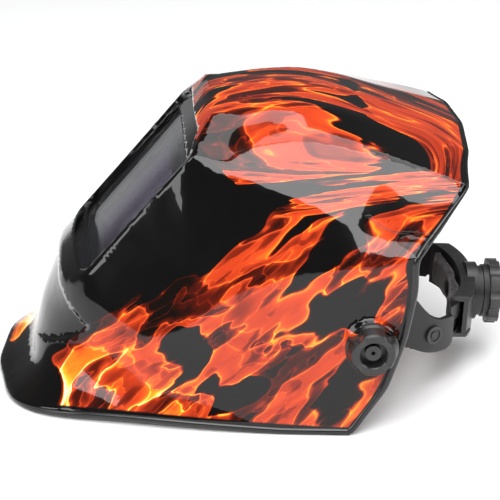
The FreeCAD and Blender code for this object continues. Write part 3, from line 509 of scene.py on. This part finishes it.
def make_materials():
    """Every slot's material, by the slot's name, and the rim bead's own."""
    black = (0.0065, 0.0065, 0.007)
    made = {
        "shell_print": shell_print("shell_print_paint"),
        "clear_cover": clear_sheet("clear_cover_paint", (0.93, 0.94, 0.96)),
        "clear_inner": clear_sheet("clear_inner_paint", (0.93, 0.95, 0.96)),
        "gasket_rubber": rubber("gasket_rubber_paint", (0.010, 0.010, 0.010)),
        "holder_plastic": moulded("holder_plastic_paint", (0.012, 0.012, 0.013), 0.5),
        "screw_steel": steel("screw_steel_paint", (0.62, 0.62, 0.63)),
        "case_plastic": moulded("case_plastic_paint", (0.018, 0.018, 0.020), 0.48, 1200.0, 0.03),
        "filter_glass": dark_filter("filter_glass_paint"),
        "solar_cell": solar("solar_cell_paint"),
        "sensor_glass": moulded("sensor_glass_paint", (0.012, 0.004, 0.008), 0.15, 600.0, 0.002, 0.1),
        "board_green": moulded("board_green_paint", (0.01, 0.09, 0.03), 0.35, 500.0, 0.01, 0.2),
        "pot_plastic": moulded("pot_plastic_paint", (0.05, 0.05, 0.06), 0.5),
        "cell_steel": steel("cell_steel_paint", (0.78, 0.77, 0.75), (1, 6, 1)),
        "knob_plastic": moulded("knob_plastic_paint", (0.022, 0.022, 0.024), 0.5),
        "button_red": moulded("button_red_paint", (0.42, 0.018, 0.012), 0.4, 1200.0, 0.01, 0.2),
        "button_grey": moulded("button_grey_paint", (0.20, 0.20, 0.21), 0.42, 1200.0, 0.01, 0.2),
        "tension_plastic": moulded("tension_plastic_paint", (0.010, 0.010, 0.010), 0.30, 1500.0, 0.008),
        "band_plastic": moulded("band_plastic_paint", black, 0.46),
        "sweat_foam": foam_cloth("sweat_foam_paint"),
        "strap_plastic": moulded("strap_plastic_paint", black, 0.44),
        "rivet_plastic": moulded("rivet_plastic_paint", (0.016, 0.016, 0.017), 0.40),
        "arm_plastic": moulded("arm_plastic_paint", black, 0.5),
        "stud_plastic": moulded("stud_plastic_paint", (0.011, 0.011, 0.012), 0.38),
        "washer_rubber": rubber("washer_rubber_paint", (0.012, 0.012, 0.012)),
        "ratchet_plastic": moulded("ratchet_plastic_paint", (0.015, 0.015, 0.016), 0.42),
        "ratchet_knob_plastic": moulded("ratchet_knob_plastic_paint", (0.016, 0.016, 0.017), 0.40),
        "detent_plastic": moulded("detent_plastic_paint", (0.42, 0.41, 0.38), 0.45, 900.0, 0.01, 0.2),
        "rim_black": moulded("rim_black_paint", (0.006, 0.006, 0.006), 0.22, 1500.0, 0.004, 0.1),
    }
    return {key: paint.mat for key, paint in made.items()}


def paint_nodes(made):
    """Each CAD node wears the material of its slot. Returns the slots by node."""
    slots = {part["node"]: part["material_slot"] for part in frame["record"]["subparts"]}
    for name, node in NODES.items():
        for place in node.material_slots:
            place.link = "OBJECT"
            place.material = made[slots[name]]
    return slots


# ---------------- the shell's skin and its rim ----------------

def merged(node):
    """A welded working copy of a CAD node's mesh."""
    bm = bmesh.new()
    bm.from_mesh(NODES[node].data)
    bmesh.ops.remove_doubles(bm, verts=bm.verts, dist=2e-6)
    return bm


def cut_long_edges(bm):
    """Halve the long edges, a few rounds over, and keep every face a triangle."""
    longest, rounds = 5.0 * MM, 4
    for _ in range(rounds):
        long = [e for e in bm.edges if e.calc_length() > longest]
        bmesh.ops.subdivide_edges(bm, edges=long, cuts=1)
        bmesh.ops.triangulate(bm, faces=[f for f in bm.faces if len(f.verts) > 3])


def add_piece(bm, name, slot_name, body, smooth_angle):
    """A new piece of the helmet, shaded smooth up to the given angle between faces."""
    mesh = bpy.data.meshes.new(name)
    bm.to_mesh(mesh)
    bm.free()
    mesh.shade_smooth()
    mesh.set_sharp_from_angle(angle=math.radians(smooth_angle))
    piece = bpy.data.objects.new(name, mesh)
    SCENE.collection.objects.link(piece)
    piece.data.materials.append(PAINTS[slot_name])
    if body:
        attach(piece, body)
    return piece


def coords(bm):
    return np.array([v.co for v in bm.verts], float)


def far_from(points, spots):
    """Distance of every point to the nearest of the spots."""
    tree = KDTree(len(spots))
    for i, spot in enumerate(spots):
        tree.insert(spot, i)
    tree.balance()
    return np.array([tree.find(p)[2] for p in points])


def hard_spots(bm, angle):
    """Points along the mesh's borders and along its edges that are sharper than the angle."""
    apart = 1.5 * MM
    spots = []
    for edge in bm.edges:
        if len(edge.link_faces) != 2 or edge.calc_face_angle(0.0) > angle:
            a, b = edge.verts[0].co, edge.verts[1].co
            steps = max(1, int((b - a).length / apart))
            spots += [a.lerp(b, i / steps) for i in range(steps + 1)]
    return spots


def make_shell_skin():
    """The shell with a finer mesh, its outer wall smoothed at some distance from sharp edges."""
    still, free, rounds = 3.0 * MM, 5.0 * MM, 6
    bm = merged("shell")
    cut_long_edges(bm)
    at = coords(bm)
    away = far_from(at, hard_spots(bm, angle=math.radians(46)))
    bm.normal_update()
    outer = np.array([v.normal.dot(v.co - MIDDLE) > 0 for v in bm.verts])
    ease = (outer * np.clip((away - still) / free, 0, 1))[:, None]
    bm.verts.index_update()
    pairs = np.array([[e.verts[0].index, e.verts[1].index] for e in bm.edges])
    count = np.bincount(pairs.ravel(), minlength=len(at))[:, None]
    for _ in range(rounds):
        total = np.zeros_like(at)
        np.add.at(total, pairs[:, 0], at[pairs[:, 1]])
        np.add.at(total, pairs[:, 1], at[pairs[:, 0]])
        at += 0.5 * ease * (total / np.maximum(count, 1) - at)
    for vert, place in zip(bm.verts, at):
        vert.co = place
    skin = add_piece(bm, "shell_skin", "shell_print", "mask", smooth_angle=42.0)
    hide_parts("shell")


def on_rear_edge(y, z):
    """Whether a point, seen from the side, lies on the rear edge."""
    slack, near = 0.1 * MM, 0.25 * MM
    for (z0, y0), (z1, y1) in zip(REAR_EDGE, REAR_EDGE[1:]):
        if z0 - slack <= z <= z1 + slack:
            return abs(y - (y0 + (y1 - y0) * (z - z0) / (z1 - z0))) < near
    return False


def chain(edges):
    """Places along the longest chain of joined edges, in order."""
    links = {}
    for e in edges:
        a, b = e.verts
        links.setdefault(a, []).append(b)
        links.setdefault(b, []).append(a)
    best, seen = [], set()
    for start in links:
        if start in seen:
            continue
        line, here, last = [start], start, None
        seen.add(start)
        while True:
            ahead = [v for v in links[here] if v is not last and v not in seen]
            if not ahead:
                break
            last, here = here, ahead[0]
            seen.add(here)
            line.append(here)
        length = sum((a.co - b.co).length for a, b in zip(line, line[1:]))
        if length > sum((a - b).length for a, b in zip(best, best[1:])):
            best = [v.co.copy() for v in line]
    return best


def rim_line():
    """The outer border of the end face of the shell's wall, along its lower and rear edge.

    The end face looks down near the floor, or backwards on the rear edge, and never sideways.
    """
    bm = merged("shell")
    wall = set()
    for face in bm.faces:
        normal, centre = face.normal, face.calc_center_median()
        if abs(normal.x) > 0.05:
            continue
        low = normal.z < -0.9 and centre.z < 6 * MM
        if low or (normal.y > 0.2 and on_rear_edge(centre.y, centre.z)):
            wall.add(face)
    border = chain([e for e in bm.edges if sum(f in wall for f in e.link_faces) == 1])
    bm.free()
    return border


def even_loop(points, step):
    """A closed line of evenly spaced points, lightly smoothed."""
    loop = list(points) + [points[0]]
    gone = [0.0]
    for a, b in zip(loop, loop[1:]):
        gone.append(gone[-1] + (b - a).length)
    count = int(gone[-1] / step)
    flat = np.array([list(p) for p in loop])
    at = np.linspace(0, gone[-1], count, endpoint=False)
    line = np.stack([np.interp(at, gone, flat[:, k]) for k in range(3)], 1)
    for _ in range(3):
        line = 0.5 * line + 0.25 * (np.roll(line, 1, 0) + np.roll(line, -1, 0))
    return line


def bead_radius(height):
    """Thin round the crown, thick below it."""
    thin, thick, thin_from, thick_below = 1.1 * MM, 2.5 * MM, 0.150, 0.130
    return thin + (thick - thin) * min(1.0, max(0.0, (thin_from - height) / (thin_from - thick_below)))


def make_rim_bead():
    """The rounded bead that runs all along the shell's free edge."""
    sides, sink = 12, 0.6
    line = even_loop(rim_line(), 3.0 * MM)
    ahead = np.roll(line, -1, 0) - np.roll(line, 1, 0)
    ahead /= np.linalg.norm(ahead, axis=1)[:, None]
    out = line - np.array(MIDDLE)
    out -= (out * ahead).sum(1)[:, None] * ahead
    out /= np.linalg.norm(out, axis=1)[:, None]
    side = np.cross(ahead, out)
    bm = bmesh.new()
    rings = []
    for place, outward, sideways in zip(line, out, side):
        radius = bead_radius(place[2])
        hub = place - outward * sink * radius
        hub[2] = max(hub[2], radius)
        rings.append([bm.verts.new(hub + radius * (math.cos(turn) * outward + math.sin(turn) * sideways))
                      for turn in np.linspace(0, 2 * math.pi, sides, endpoint=False)])
    for one, two in zip(rings, rings[1:] + rings[:1]):
        for k in range(sides):
            after = (k + 1) % sides
            bm.faces.new((one[k], one[after], two[after], two[k]))
    bmesh.ops.recalc_face_normals(bm, faces=bm.faces)
    bead = add_piece(bm, "rim_bead", "shell_print", "mask", smooth_angle=60.0)
    bead.data.materials[0] = PAINTS["rim_black"]


# ---------------- straps and soft pads ----------------


def make_straps():
    """The toothed straps, copied with a finer mesh, in place of their CAD nodes, which are hidden."""
    for node in ("strap_left", "strap_right"):
        bm = merged(node)
        cut_long_edges(bm)
        strap = add_piece(bm, node + "_flexing", SLOTS[node], None, smooth_angle=35.0)
        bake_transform(strap)
        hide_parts(node)


def bake(piece):
    """The piece's modifiers become its mesh."""
    graph = bpy.context.evaluated_depsgraph_get()
    mesh = bpy.data.meshes.new_from_object(piece.evaluated_get(graph))
    piece.modifiers.clear()
    piece.data = mesh


def swell(piece, pressure, frames):
    """Fill the closed skin with air for a moment, as foam fills its cover."""
    cloth = piece.modifiers.new("cover", "CLOTH")
    cloth.settings.quality = 5
    cloth.settings.mass = 0.01
    cloth.settings.tension_stiffness = 6
    cloth.settings.compression_stiffness = 6
    cloth.settings.bending_stiffness = 0.4
    cloth.settings.use_pressure = True
    cloth.settings.uniform_pressure_force = pressure
    cloth.settings.effector_weights.gravity = 0.0
    cloth.collision_settings.use_collision = False
    cloth.point_cache.frame_start = 1
    cloth.point_cache.frame_end = frames
    for frame_no in range(1, frames + 1):
        SCENE.frame_set(frame_no)
    bake(piece)
    SCENE.frame_set(1)


def make_pad(node, body):
    """A foam pad in a knit cover: the CAD pad with an even mesh, drawn in a little, then swelled."""
    grain, inset, most_swell, pressure, frames = 1.9 * MM, 0.9 * MM, 2.0 * MM, 1500.0, 16
    piece = bpy.data.objects.new(node + "_padded", bpy.data.meshes.new(node + "_padded"))
    bm = merged(node)
    bm.to_mesh(piece.data)
    bm.free()
    SCENE.collection.objects.link(piece)
    even = piece.modifiers.new("even", "REMESH")
    even.mode = "VOXEL"
    even.voxel_size = grain
    bake(piece)
    mesh = piece.data
    start = np.array([v.co - v.normal * inset for v in mesh.vertices])
    mesh.vertices.foreach_set("co", start.ravel())
    mesh.update()
    swell(piece, pressure, frames)
    mesh = piece.data
    move = np.array([v.co for v in mesh.vertices]) - start
    size = np.maximum(np.linalg.norm(move, axis=1), 1e-9)[:, None]
    mesh.vertices.foreach_set("co", (start + move * np.minimum(1.0, most_swell / size)).ravel())
    mesh.update()
    piece.modifiers.new("smooth", "SUBSURF").levels = 1
    bake(piece)
    piece.data.shade_smooth()
    piece.data.materials.clear()
    piece.data.materials.append(PAINTS[SLOTS[node]])
    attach(piece, body)
    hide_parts(node)


make_camera()
make_stage()
PAINTS = make_materials()
SLOTS = paint_nodes(PAINTS)
make_shell_skin()
make_rim_bead()
make_straps()
make_pad("sweatband", "headgear")
make_pad("nape_pad", "ratchet_carriage")
